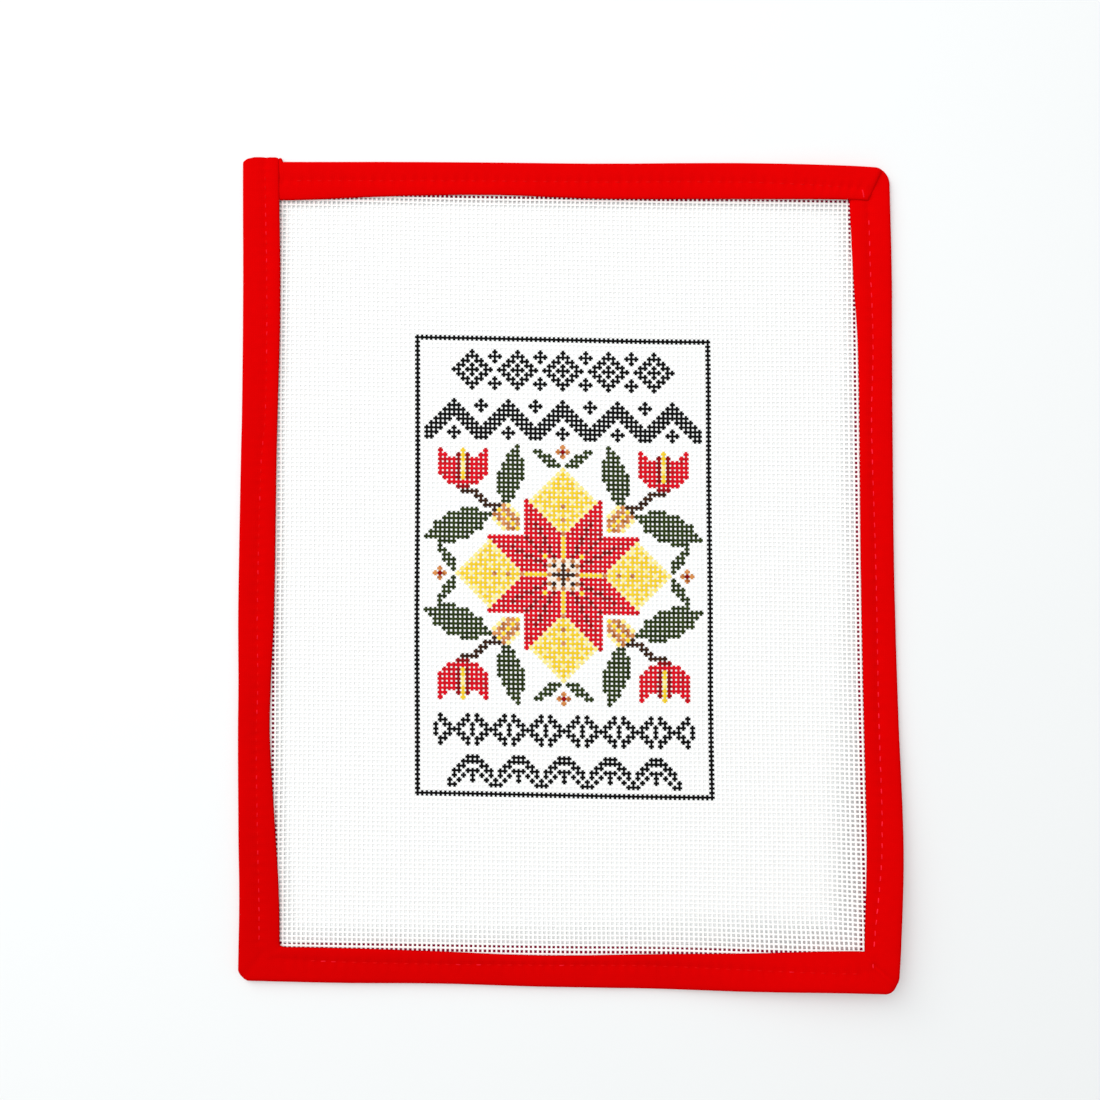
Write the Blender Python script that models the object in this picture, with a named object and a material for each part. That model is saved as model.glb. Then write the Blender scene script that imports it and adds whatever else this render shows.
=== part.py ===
"""Needlepoint canvas panel: a sheet of mesh canvas whose four edges are bound with folded red tape.

The panel lies face up on z = 0. +X is the picture's right, +Y is its top, and the origin is under
the middle of its bounding box. The sizes below are millimetres; the meshes are made in metres.
"""
import math
from typing import NamedTuple

import bmesh
import bpy
from mathutils import Vector

MM = 0.001

# Layers of the bound edge, from the floor up
TAPE = 1.0                                # one layer of the folded tape
CANVAS = 1.0                              # the stiffened mesh canvas
CLEARANCE = 0.3                           # between the canvas and each layer of tape
CANVAS_LOW = TAPE + CLEARANCE             # underside of the canvas between the layers
FRONT_LOW = CANVAS_LOW + CANVAS + CLEARANCE
FRONT_HIGH = FRONT_LOW + TAPE

# The tape's cross-section
FOLD_WALL = 1.4                           # from the outer fold to the canvas channel
FOLD_ROUND = 1.1                          # how far the outer fold's rounding reaches in
FOLD_BEND = 0.4                           # from the outermost line to the rounding's middle
FOLD_DROP = 0.45                          # how much thinner the edge is there, on each face
EDGE_ROUND = 0.3                          # rounding of the front flap's inner edge
SEAM_SHARE = 0.55                         # the seam's place, from the outer fold to the inner edge
SEAM_DIP = 0.3                            # how deep the seam pulls the front flap in
PUFF = 0.1                                # how much the tape stands up beside the seam

# Corners
WINDOW_RADIUS = 1.0                       # inner corners of the tape
LAP_RISE = 0.9                            # the strip's end lies this much above its start
LAP_OVERHANG = 1.2                        # and passes the top edge by this much
LAP_RAMP = 0.4                            # width of the step at its cut end
LAP_FADE = 24.0                           # down the left edge, until the strip lies level again
TURN_RISE = 0.8                           # the top run folded over the right run
TURN_REACH = 6.5                          # from the window's corner to the foot of that fold
TURN_LEAN = 3.4                           # how far the fold leans outwards up to the top edge
TURN_SILL = 0.6                           # how far the top run hangs below the window's corner
TURN_RAMP = 0.9                           # width of the step at the fold
TURN_FADE = 30.0                          # along the top edge, until the run lies level again

# The lower right corner stands up a little
LIFT = 5.5                                # height at the corner itself
LIFT_REACH_X = 80.0                       # how far to the left the edge is off the floor
LIFT_REACH_Y = 100.0                      # how far upwards

# The canvas
CANVAS_INSET = 1.9                        # from the outline to the canvas's cut edge
BEHIND_MARGIN = 1.0                       # it stays level this far past the back flap

# Mesh steps
SIDE_STEP = 9.0                           # along the runs of tape
CORNER_STEPS = 6                          # in each half of a corner's square
ARC_STEPS = 4                             # round each outer corner
CANVAS_STEP = 10.0                        # along the canvas's loops
CANVAS_ARC_STEPS = 8                      # round each of their corners
EASE_SHARES = (0.0, 0.2, 0.4, 0.6, 0.8, 1.0)   # rings of the canvas as it comes down to the floor

TAPE_RED = (0.753, 0.0006, 0.0012, 1.0)
CANVAS_WHITE = (0.88, 0.87, 0.85, 1.0)


class Corner(NamedTuple):
    """A corner of the outline as it would be unrounded, clockwise from the top left."""
    x: float
    y: float
    radius: float       # of the folded edge
    flat_radius: float  # of the flat middle of the canvas


CORNERS = (
    Corner(-101.3, 127.6, 1.6, 12.0),
    Corner(100.2, 125.7, 4.5, 16.0),
    Corner(100.3, -127.7, 5.5, 80.0),
    Corner(-100.3, -125.0, 4.0, 18.0),
)


class Row(NamedTuple):
    """How a side runs at one place along it, clockwise."""
    along: float   # from the side's first corner
    bulge: float   # of the outer fold, outwards from the straight line between the corners
    flap: float    # width of the front flap
    behind: float  # how much further in the back flap reaches
    ease: float    # from there to where the canvas touches the floor


TOP = (
    Row(0.0, -0.5, 11.9, 0.4, 8.0),
    Row(16.0, -0.5, 11.7, 0.3, 11.0),
    Row(48.0, -0.1, 10.7, 0.3, 12.0),
    Row(79.0, 0.0, 10.2, 0.8, 12.0),
    Row(110.0, 0.0, 11.3, 1.4, 12.0),
    Row(157.0, 0.6, 11.3, 1.4, 12.0),
    Row(188.0, 0.0, 10.8, 1.2, 13.0),
    Row(201.5, -0.3, 10.9, 1.0, 14.0),
)
RIGHT = (
    Row(0.0, 0.0, 12.6, 0.4, 14.0),
    Row(33.0, 0.4, 11.9, 0.6, 12.0),
    Row(56.0, 0.3, 10.6, 1.2, 12.0),
    Row(80.0, 0.0, 10.1, 1.6, 12.0),
    Row(126.0, 0.0, 10.2, 1.6, 12.0),
    Row(172.0, 0.7, 10.5, 1.6, 16.0),
    Row(210.0, 1.3, 11.1, 1.4, 22.0),
    Row(240.0, -0.3, 11.4, 0.8, 28.0),
    Row(253.4, -1.0, 11.5, 0.6, 30.0),
)
BOTTOM = (
    Row(0.0, -0.3, 12.2, 2.0, 30.0),
    Row(18.0, -0.3, 12.1, 2.4, 28.0),
    Row(48.0, 0.2, 11.8, 2.8, 22.0),
    Row(79.0, 0.3, 10.5, 2.8, 17.0),
    Row(109.0, 0.6, 9.5, 2.8, 15.0),
    Row(140.0, 0.1, 9.5, 2.6, 15.0),
    Row(170.0, 0.3, 10.4, 2.0, 15.0),
    Row(200.6, -0.3, 10.1, 1.4, 16.0),
)
LEFT = (
    Row(0.0, 0.1, 12.7, 0.6, 12.0),
    Row(43.0, 0.3, 11.6, 1.4, 7.0),
    Row(74.0, 0.5, 9.9, 1.8, 6.0),
    Row(89.0, 0.5, 9.7, 1.8, 6.0),
    Row(112.0, 0.7, 11.1, 1.2, 6.0),
    Row(158.0, 0.2, 11.0, 0.4, 6.0),
    Row(205.0, -0.3, 11.4, 0.3, 6.0),
    Row(252.2, 0.0, 11.6, 0.3, 8.0),
)


def smooth_step(value):
    """0 below 0, 1 above 1 and a soft rise between them."""
    value = min(max(value, 0.0), 1.0)
    return value * value * (3.0 - 2.0 * value)


def spaced(first, last, count):
    """count + 1 numbers from first to last."""
    return [first + (last - first) * step / count for step in range(count + 1)]


class Side:
    """One side of the outline, from a corner to the next one clockwise."""

    def __init__(self, start, end, rows):
        self.start = Vector((start.x, start.y))
        self.ahead = Vector((end.x, end.y)) - self.start
        self.length = self.ahead.length
        self.ahead.normalize()
        self.outwards = Vector((-self.ahead.y, self.ahead.x))
        self.first_radius = start.radius
        self.last_radius = end.radius
        self.rows = rows

    def value(self, column, along):
        """A column of the side's table at a place along it, on a smooth curve through the rows."""
        rows = self.rows
        index = 0
        while index < len(rows) - 2 and along > rows[index + 1].along:
            index += 1
        before = rows[max(index - 1, 0)]
        here, there = rows[index], rows[index + 1]
        after = rows[min(index + 2, len(rows) - 1)]
        span = there.along - here.along
        share = min(max((along - here.along) / span, 0.0), 1.0)
        leave = (getattr(there, column) - getattr(before, column)) / (there.along - before.along)
        arrive = (getattr(after, column) - getattr(here, column)) / (after.along - here.along)
        fade = smooth_step(share)
        straight = getattr(here, column) * (1.0 - fade) + getattr(there, column) * fade
        bend = share * (1.0 - share) * span
        return straight + bend * (leave * (1.0 - share) - arrive * share)

    def point(self, along, depth):
        """The place at a depth inwards from the outer fold."""
        out = self.value("bulge", along) - depth
        return self.start + self.ahead * along + self.outwards * out

    def flap(self, along):
        """Width of the front flap."""
        return self.value("flap", along)

    def back(self, along):
        """Width of the back flap."""
        return self.flap(along) + self.value("behind", along)


TOP_SIDE = Side(CORNERS[0], CORNERS[1], TOP)
RIGHT_SIDE = Side(CORNERS[1], CORNERS[2], RIGHT)
BOTTOM_SIDE = Side(CORNERS[2], CORNERS[3], BOTTOM)
LEFT_SIDE = Side(CORNERS[3], CORNERS[0], LEFT)
SIDES = (TOP_SIDE, RIGHT_SIDE, BOTTOM_SIDE, LEFT_SIDE)
BEFORE = dict(zip(SIDES, SIDES[-1:] + SIDES[:-1]))
AFTER = dict(zip(SIDES, SIDES[1:] + SIDES[:1]))


def crossing(before, after, depth_before, depth_after):
    """Where the lines at these depths inside two neighbouring sides meet."""
    out_before = before.value("bulge", before.length) - depth_before
    out_after = after.value("bulge", 0.0) - depth_after
    return after.start + before.outwards * out_before + after.outwards * out_after


def arc_point(before, after, corner, radius, turn):
    """A point of a corner's rounding, for a turn of 0 to 1 from one side to the next."""
    centre = corner - before.ahead * radius + after.ahead * radius
    angle = turn * math.pi / 2
    spoke = before.outwards * math.cos(angle) + after.outwards * math.sin(angle)
    return centre + spoke * radius


def inner_turns(steps):
    """The turns of an arc's points without its two ends."""
    return spaced(0.0, 1.0, steps)[1:-1]


def lift(place):
    """How far the panel stands off the floor here, near its lower right corner."""
    corner = CORNERS[2]
    across = (corner.x - place.x) / LIFT_REACH_X
    up = (place.y - corner.y) / LIFT_REACH_Y
    return LIFT * smooth_step(1.0 - math.hypot(across, up))


class Station(NamedTuple):
    """A cross-section of the tape, seen from above."""
    outer: Vector
    front: Vector       # inner edge of the front flap
    back: Vector        # inner edge of the back flap
    flap: float         # width of the front flap, square to the side
    back_flap: float
    rise: float         # of the strip's end over its start, 0 to 1


def lap_rise(side, along):
    """How far the strip's end stands over its start: full at the top left corner."""
    if side is TOP_SIDE:
        past = along - LEFT_SIDE.flap(LEFT_SIDE.length)
        return 1.0 - smooth_step(past / LAP_RAMP)
    if side is LEFT_SIDE:
        short = side.length - along - TOP_SIDE.flap(0.0)
        return 1.0 - smooth_step(short / LAP_FADE)
    return 0.0


def outer_place(side, along):
    """The outer fold, with the strip's end passing the top edge."""
    overhang = LAP_OVERHANG * lap_rise(side, along) if side is TOP_SIDE else 0.0
    return side.point(along, -overhang)


def first_square(side):
    """Places in the corner square at a side's start."""
    square = BEFORE[side].flap(BEFORE[side].length)
    return spaced(side.first_radius, square, CORNER_STEPS)


def last_square(side):
    """Places in the corner square at a side's end."""
    square = side.length - AFTER[side].flap(0.0)
    return spaced(square, side.length - side.last_radius, CORNER_STEPS)


def corner_stations(before, after):
    """The fan of cross-sections in a corner's square: their inner ends share a small rounding."""
    overhang = LAP_OVERHANG if after is TOP_SIDE else 0.0
    corner = crossing(before, after, 0.0, -overhang)
    outer = [outer_place(before, along) for along in last_square(before)]
    for turn in inner_turns(ARC_STEPS):
        outer.append(arc_point(before, after, corner, after.first_radius, turn))
    outer += [outer_place(after, along) for along in first_square(after)]
    flaps = (before.flap(before.length), after.flap(0.0))
    backs = (before.back(before.length), after.back(0.0))
    window = crossing(before, after, *flaps)
    back_window = crossing(before, after, *backs)
    stations = []
    for index, place in enumerate(outer):
        turn = (index + 0.5) / len(outer)
        stations.append(Station(
            outer=place,
            front=arc_point(before, after, window, WINDOW_RADIUS, turn),
            back=arc_point(before, after, back_window, WINDOW_RADIUS, turn),
            flap=flaps[0] * (1.0 - turn) + flaps[1] * turn,
            back_flap=backs[0] * (1.0 - turn) + backs[1] * turn,
            rise=1.0 if after is TOP_SIDE else 0.0,
        ))
    return stations


def inside_window(side, along, width):
    """The nearest place along a side that is clear of its neighbours' flaps or back flaps."""
    before, after = BEFORE[side], AFTER[side]
    low = width(before, before.length) + WINDOW_RADIUS
    high = side.length - width(after, 0.0) - WINDOW_RADIUS
    return min(max(along, low), high)


def side_stations(side):
    """The cross-sections between a side's two corner squares, an even step apart."""
    step_in = LAP_RAMP if side is TOP_SIDE else WINDOW_RADIUS
    first = first_square(side)[-1] + step_in
    last = last_square(side)[0] - WINDOW_RADIUS
    stations = []
    for along in spaced(first, last, round((last - first) / SIDE_STEP)):
        front_along = inside_window(side, along, Side.flap)
        back_along = inside_window(side, along, Side.back)
        stations.append(Station(
            outer=outer_place(side, along),
            front=side.point(front_along, side.flap(front_along)),
            back=side.point(back_along, side.back(back_along)),
            flap=side.flap(along),
            back_flap=side.back(along),
            rise=lap_rise(side, along),
        ))
    return stations


def tape_stations():
    """All cross-sections, clockwise from the top left corner."""
    stations = []
    for side in SIDES:
        stations += corner_stations(BEFORE[side], side)
        stations += side_stations(side)
    return stations


class SectionPoint(NamedTuple):
    """A point of the tape's cross-section."""
    flap: str           # the flap whose width it goes by
    share: float        # of that width, from the outer fold
    extra: float        # depth on top of that share
    height: float
    rises: float        # 1 where it stands up with a lap or a fold


FRONT_FACE = (
    SectionPoint("front", 1.0, 0.0, FRONT_LOW, 0.0),
    SectionPoint("front", 1.0, 0.0, FRONT_HIGH - EDGE_ROUND, 1.0),
    SectionPoint("front", 1.0, -EDGE_ROUND, FRONT_HIGH, 1.0),
    SectionPoint("front", 0.88, 0.0, FRONT_HIGH, 1.0),
    SectionPoint("front", 0.77, 0.0, FRONT_HIGH + PUFF, 1.0),
    SectionPoint("front", 0.66, 0.0, FRONT_HIGH, 1.0),
    SectionPoint("front", SEAM_SHARE, 0.0, FRONT_HIGH - SEAM_DIP, 1.0),
    SectionPoint("front", 0.45, 0.0, FRONT_HIGH, 1.0),
    SectionPoint("front", 0.34, 0.0, FRONT_HIGH + PUFF, 1.0),
    SectionPoint("front", 0.22, 0.0, FRONT_HIGH, 1.0),
    SectionPoint("front", 0.0, FOLD_ROUND, FRONT_HIGH, 1.0),
    SectionPoint("front", 0.0, FOLD_BEND, FRONT_HIGH - FOLD_DROP, 1.0),
    SectionPoint("front", 0.0, 0.0, FRONT_LOW, 0.6),
)
BACK_FACE = (
    SectionPoint("back", 0.0, 0.0, TAPE, 0.0),
    SectionPoint("back", 0.0, FOLD_BEND, FOLD_DROP, 0.0),
    SectionPoint("back", 0.0, FOLD_ROUND, 0.0, 0.0),
    SectionPoint("back", 1.0, 0.0, 0.0, 0.0),
    SectionPoint("back", 1.0, 0.0, TAPE, 0.0),
)
CHANNEL = (
    SectionPoint("back", 0.0, FOLD_WALL, TAPE, 0.0),
    SectionPoint("front", 0.0, FOLD_WALL, FRONT_LOW, 0.0),
)


def turn_rise(place):
    """How far the top run stands over the right run at the top right corner's diagonal fold."""
    window = crossing(TOP_SIDE, RIGHT_SIDE, TOP_SIDE.flap(TOP_SIDE.length), RIGHT_SIDE.flap(0.0))
    up = place.y - window.y + TURN_SILL
    top = TOP_SIDE.flap(TOP_SIDE.length) + TURN_SILL
    fold = TURN_REACH + TURN_LEAN * up / top
    inside = min(fold - (place.x - window.x), up)
    left = window.x - place.x
    return TURN_RISE * smooth_step(inside / TURN_RAMP) * (1.0 - smooth_step(left / TURN_FADE))


def section_place(station, point):
    """Where a point of the cross-section lies at a station."""
    width = station.flap if point.flap == "front" else station.back_flap
    end = station.front if point.flap == "front" else station.back
    depth = point.share * width + point.extra
    flat = station.outer.lerp(end, depth / width)
    rise = LAP_RISE * station.rise + turn_rise(flat)
    return Vector((flat.x, flat.y, point.height + point.rises * rise + lift(flat)))


def canvas_loop(depth, radii):
    """A closed loop inside the outline: depth(side, along) from it, rounded at each corner."""
    loop = []
    for index, side in enumerate(SIDES):
        before, after = BEFORE[side], AFTER[side]
        radius, next_radius = radii[index], radii[(index + 1) % 4]
        depth_before = depth(before, before.length)
        corner = crossing(before, side, depth_before, depth(side, 0.0))
        for turn in inner_turns(CANVAS_ARC_STEPS):
            loop.append(arc_point(before, side, corner, radius, turn))
        first = depth_before + radius
        last = side.length - depth(after, 0.0) - next_radius
        for along in spaced(first, last, round(side.length / CANVAS_STEP)):
            loop.append(side.point(along, depth(side, along)))
    return loop


def eased_loop(share):
    """The loop at a share of the way from the tape down to the flat middle."""
    def depth(side, along):
        return side.back(along) + BEHIND_MARGIN + share * side.value("ease", along)
    radii = [corner.radius + (corner.flat_radius - corner.radius) * share for corner in CORNERS]
    return canvas_loop(depth, radii)


def canvas_loops():
    """(loop, height of the canvas's underside) from its cut edge to the flat middle."""
    edge_radii = [corner.radius for corner in CORNERS]
    loops = [(canvas_loop(lambda side, along: CANVAS_INSET, edge_radii), CANVAS_LOW)]
    for share in EASE_SHARES:
        loops.append((eased_loop(share), CANVAS_LOW * (1.0 - smooth_step(share))))
    return loops


def outline_centre():
    """The middle of the outline's bounding box."""
    places = [station.outer for station in tape_stations()]
    across = [place.x for place in places]
    up = [place.y for place in places]
    return Vector(((min(across) + max(across)) / 2, (min(up) + max(up)) / 2))


def clear_scene():
    for obj in list(bpy.data.objects):
        bpy.data.objects.remove(obj, do_unlink=True)


def principled(name, colour, roughness):
    material = bpy.data.materials.new(name)
    material.use_nodes = True
    shader = material.node_tree.nodes["Principled BSDF"]
    shader.inputs["Base Color"].default_value = colour
    shader.inputs["Roughness"].default_value = roughness
    shader.inputs["Metallic"].default_value = 0.0
    return material


def add_object(name, bm, material):
    """Turns a bmesh in millimetres into a named object in metres."""
    bmesh.ops.recalc_face_normals(bm, faces=bm.faces)
    bmesh.ops.scale(bm, vec=(MM, MM, MM), verts=bm.verts)
    mesh = bpy.data.meshes.new(name)
    bm.to_mesh(mesh)
    bm.free()
    mesh.materials.append(material)
    mesh.shade_smooth()
    mesh.set_sharp_from_angle(angle=math.radians(40))
    obj = bpy.data.objects.new(name, mesh)
    bpy.context.scene.collection.objects.link(obj)
    return obj


def bridge(bm, first, second):
    """A band of faces between two closed loops of vertices."""
    count = len(first)
    for index in range(count):
        after = (index + 1) % count
        bm.faces.new((first[index], first[after], second[after], second[index]))


def add_binding(centre):
    """The folded tape: one closed strip round the canvas, open towards it."""
    bm = bmesh.new()
    stations = tape_stations()
    shift = Vector((centre.x, centre.y, 0.0))
    rings = []
    for point in FRONT_FACE + BACK_FACE + CHANNEL:
        rings.append([bm.verts.new(section_place(station, point) - shift) for station in stations])
    for first, second in zip(rings, rings[1:] + rings[:1]):
        bridge(bm, first, second)
    return add_object("binding", bm, principled("red_cotton", TAPE_RED, 0.85))


def add_canvas(centre):
    """The mesh canvas: level inside the tape, and down on the floor in the middle."""
    bm = bmesh.new()
    lower, upper = [], []
    for loop, height in canvas_loops():
        low = [Vector((p.x - centre.x, p.y - centre.y, height + lift(p))) for p in loop]
        lower.append([bm.verts.new(p) for p in low])
        upper.append([bm.verts.new(p + Vector((0.0, 0.0, CANVAS))) for p in low])
    for layer in (lower, upper):
        for first, second in zip(layer, layer[1:]):
            bridge(bm, first, second)
        bm.faces.new(layer[-1])
    bridge(bm, lower[0], upper[0])
    return add_object("canvas", bm, principled("white_cotton_canvas", CANVAS_WHITE, 0.9))


def main():
    clear_scene()
    centre = outline_centre()
    add_canvas(centre)
    add_binding(centre)


main()
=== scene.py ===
"""Needlepoint canvas panel: stiff white mesh canvas with a painted pattern, bound with red tape.

Laid out as a Blender add-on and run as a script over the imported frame. Tables and sizes are in
millimetres and follow the panel's source; meshes are made in metres. The panel lies face up, with
+X to its right and +Y to its top.
"""
import math
import random
from typing import NamedTuple

import bmesh
import bpy
from bpy.props import FloatProperty, FloatVectorProperty, PointerProperty
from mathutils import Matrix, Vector, noise


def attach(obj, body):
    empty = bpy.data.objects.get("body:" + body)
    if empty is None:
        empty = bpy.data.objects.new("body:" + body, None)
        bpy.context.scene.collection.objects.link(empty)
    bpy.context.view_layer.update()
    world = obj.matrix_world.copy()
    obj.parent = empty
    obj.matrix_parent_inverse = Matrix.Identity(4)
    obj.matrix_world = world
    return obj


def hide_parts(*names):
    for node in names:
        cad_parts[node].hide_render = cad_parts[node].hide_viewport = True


bl_info = {
    "name": "Needlepoint Canvas Panel",
    "version": (1, 0, 0),
    "blender": (4, 5, 0),
    "location": "3D View > Sidebar > Needlepoint",
    "description": "Weaves, binds and sews a needlepoint canvas over its packed frame",
    "category": "Object",
}

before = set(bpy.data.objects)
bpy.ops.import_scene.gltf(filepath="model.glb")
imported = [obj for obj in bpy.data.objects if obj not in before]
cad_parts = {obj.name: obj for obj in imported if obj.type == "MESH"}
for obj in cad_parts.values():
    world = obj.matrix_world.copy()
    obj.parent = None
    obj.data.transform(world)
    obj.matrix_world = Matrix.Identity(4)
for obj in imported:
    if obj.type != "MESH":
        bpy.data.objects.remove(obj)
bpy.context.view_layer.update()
MM = 0.001


# ---------------------------------------------------------------- outline

class Corner(NamedTuple):
    """A corner of the outline as it would be unrounded, clockwise from the top left."""
    x: float
    y: float
    radius: float  # of the folded edge
    cut: float  # 1 for a round corner, less for a fuller one, 2 for one cut off straight


TOP_LEFT = Corner(-101.3, 127.6, 1.6, 1.0)
TOP_RIGHT = Corner(100.2, 125.7, 4.6, 1.0)
BOTTOM_RIGHT = Corner(100.3, -127.7, 6.0, 0.8)
BOTTOM_LEFT = Corner(-100.3, -125.0, 2.9, 1.3)


class Row(NamedTuple):
    """How a side runs at one place along it, clockwise."""
    along: float  # from the side's first corner
    bulge: float  # of the outer fold, outwards from the straight line between the corners
    flap: float  # width of the front flap
    behind: float  # how much further in the back flap reaches, or less far if negative
    ease: float  # from there to where the canvas touches the floor
    seam: float  # from the outer fold to the stitches


TOP = (
    Row(0.0, -0.3, 12.1, -0.3, 2.4, 6.2),
    Row(16.0, -0.2, 12.1, -0.3, 2.4, 6.2),
    Row(48.0, 0.1, 10.8, 0.1, 2.4, 6.25),
    Row(79.0, 0.2, 10.3, 0.7, 2.4, 6.1),
    Row(110.0, 0.15, 11.1, 0.3, 2.4, 6.1),
    Row(157.0, 0.75, 11.4, 0.2, 2.4, 6.3),
    Row(188.0, 0.1, 10.8, 0.4, 4.0, 7.1),
    Row(201.5, -0.6, 10.9, -0.2, 5.0, 7.6),
)
RIGHT = (
    Row(0.0, 0.2, 12.9, 0.3, 5.0, 7.1),
    Row(33.0, 0.65, 12.1, 0.4, 4.0, 6.8),
    Row(56.0, 0.5, 10.7, 0.9, 4.0, 6.1),
    Row(80.0, 0.35, 10.3, 1.6, 5.0, 6.7),
    Row(126.0, 0.3, 10.3, 1.2, 6.0, 5.8),
    Row(172.0, 1.0, 10.6, 1.4, 9.0, 6.2),
    Row(210.0, 1.35, 10.95, 1.0, 9.0, 6.6),
    Row(240.0, -0.25, 10.5, 0.8, 10.0, 8.0),
    Row(253.4, -1.35, 9.5, 0.8, 10.0, 7.6),
)
BOTTOM = (
    Row(0.0, 0.2, 12.1, 0.0, 8.0, 6.1),
    Row(18.0, 0.25, 11.9, 0.1, 8.0, 5.8),
    Row(48.0, 0.95, 11.2, 0.9, 13.0, 6.6),
    Row(79.0, 0.9, 10.2, 1.9, 10.0, 7.0),
    Row(109.0, 0.8, 9.4, 2.5, 8.0, 6.6),
    Row(140.0, 0.3, 9.7, 1.7, 7.0, 6.0),
    Row(170.0, 0.5, 10.5, 1.1, 7.0, 6.5),
    Row(200.6, 0.2, 10.3, 0.5, 7.0, 7.2),
)
LEFT = (
    Row(0.0, 0.2, 12.7, -0.1, 7.0, 6.6),
    Row(24.0, -0.05, 12.2, -0.2, 5.0, 6.2),
    Row(43.0, 0.3, 11.4, 0.1, 4.0, 6.0),
    Row(74.0, 0.65, 9.8, 1.3, 2.6, 5.8),
    Row(89.0, 0.6, 9.95, 1.5, 2.4, 6.15),
    Row(112.0, 0.8, 11.05, 0.7, 2.4, 6.05),
    Row(158.0, 0.3, 11.1, -0.2, 2.4, 6.5),
    Row(172.0, 0.05, 11.1, -0.4, 2.4, 7.4),
    Row(205.0, -0.1, 11.6, -0.4, 2.4, 7.6),
    Row(252.2, 0.1, 11.4, -0.4, 2.4, 7.1),
)

TABLE_CENTRE = Vector((0.0854, 0.4849))  # the frame's origin in the tables' millimetres
CANVAS_INSET = 1.9  # from the outline to the canvas's cut edge
BEHIND_MARGIN = 0.5  # the canvas stays level this far past the back flap
LIFT = 5.5  # the lower right corner stands up by this
LIFT_REACH_X = 80.0  # and the edge is off the floor this far to the left
LIFT_REACH_Y = 100.0  # and this far upwards
LIFT_FALL = 24.0  # the edge curls up from this far inside it


def smooth_step(value):
    """0 below 0, 1 above 1 and a soft rise between them."""
    value = min(max(value, 0.0), 1.0)
    return value * value * (3.0 - 2.0 * value)


def spaced(first, last, count):
    """count + 1 numbers from first to last."""
    return [first + (last - first) * step / count for step in range(count + 1)]


class Side:
    """One side of the outline, from a corner to the next one clockwise."""

    def __init__(self, start, end, rows):
        self.start = Vector((start.x, start.y))
        self.ahead = Vector((end.x, end.y)) - self.start
        self.length = self.ahead.length
        self.ahead.normalize()
        self.outwards = Vector((-self.ahead.y, self.ahead.x))
        self.first_radius = start.radius
        self.last_radius = end.radius
        self.first_cut = start.cut
        self.rows = rows
        self.curves = {}

    def drawn(self, column, along):
        """A column of the side's table at a place along it, on a smooth curve through the rows."""
        rows = self.rows
        index = 0
        while index < len(rows) - 2 and along > rows[index + 1].along:
            index += 1
        before = rows[max(index - 1, 0)]
        here, there = rows[index], rows[index + 1]
        after = rows[min(index + 2, len(rows) - 1)]
        span = there.along - here.along
        share = min(max((along - here.along) / span, 0.0), 1.0)
        leave = (getattr(there, column) - getattr(before, column)) / (there.along - before.along)
        arrive = (getattr(after, column) - getattr(here, column)) / (after.along - here.along)
        fade = smooth_step(share)
        straight = getattr(here, column) * (1.0 - fade) + getattr(there, column) * fade
        bend = share * (1.0 - share) * span
        return straight + bend * (leave * (1.0 - share) - arrive * share)

    def value(self, column, along):
        """The same, read off a curve that is drawn once at every millimetre."""
        if column not in self.curves:
            steps = range(int(self.length) + 2)
            self.curves[column] = [self.drawn(column, float(step)) for step in steps]
        curve = self.curves[column]
        along = min(max(along, 0.0), self.length)
        index = int(along)
        share = along - index
        return curve[index] * (1.0 - share) + curve[index + 1] * share

    def point(self, along, depth):
        """The place at a depth inwards from the outer fold."""
        out = self.value("bulge", along) - depth
        return self.start + self.ahead * along + self.outwards * out

    def locate(self, place):
        """How far along the side a place is, and its depth inside the outer fold."""
        away = place - self.start
        along = away.dot(self.ahead)
        return along, self.value("bulge", along) - away.dot(self.outwards)

    def flap(self, along):
        """Width of the front flap."""
        return self.value("flap", along)

    def back(self, along):
        """Width of the back flap."""
        return self.flap(along) + self.value("behind", along)


TOP_SIDE = Side(TOP_LEFT, TOP_RIGHT, TOP)
RIGHT_SIDE = Side(TOP_RIGHT, BOTTOM_RIGHT, RIGHT)
BOTTOM_SIDE = Side(BOTTOM_RIGHT, BOTTOM_LEFT, BOTTOM)
LEFT_SIDE = Side(BOTTOM_LEFT, TOP_LEFT, LEFT)
SIDES = (TOP_SIDE, RIGHT_SIDE, BOTTOM_SIDE, LEFT_SIDE)


def crossing_of(before, after, depth_before, depth_after):
    """Where the lines at these depths inside two neighbouring sides meet."""
    out_before = before.value("bulge", before.length) - depth_before
    out_after = after.value("bulge", 0.0) - depth_after
    return after.start + before.outwards * out_before + after.outwards * out_after


def arc_point(before, after, corner, radius, turn):
    """A point of an inner corner's rounding, for a turn of 0 to 1 from one side to the next."""
    centre = corner - before.ahead * radius + after.ahead * radius
    angle = turn * math.pi / 2
    spoke = before.outwards * math.cos(angle) + after.outwards * math.sin(angle)
    return centre + spoke * radius


def outer_arc_point(before, after, turn):
    """A point of the folded edge's rounding, which meets the bulged edge of both sides."""
    radius, angle = after.first_radius, turn * math.pi / 2
    over = math.cos(angle) ** after.first_cut
    past = math.sin(angle) ** after.first_cut
    bulge_before = before.value("bulge", before.length - radius * (1.0 - past))
    bulge_after = after.value("bulge", radius * (1.0 - over))
    return (after.start + before.outwards * (bulge_before * over - radius * (1.0 - over))
            + after.outwards * (bulge_after * past - radius * (1.0 - past)))


def rounding(radius, left):
    """How far a round corner's edge lies inside, this far before the corner's end."""
    past = min(max(radius - left, 0.0), radius)
    return radius - math.sqrt(radius * radius - past * past)


def lift(place):
    """How far the panel stands off the floor here, near its lower right corner."""
    inwards, up = BOTTOM_RIGHT.x - place.x, place.y - BOTTOM_RIGHT.y
    edge = smooth_step(1.0 - math.hypot(inwards / LIFT_REACH_X, up / LIFT_REACH_Y))
    return LIFT * edge * (1.0 - smooth_step(min(inwards, up) / LIFT_FALL))


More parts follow.
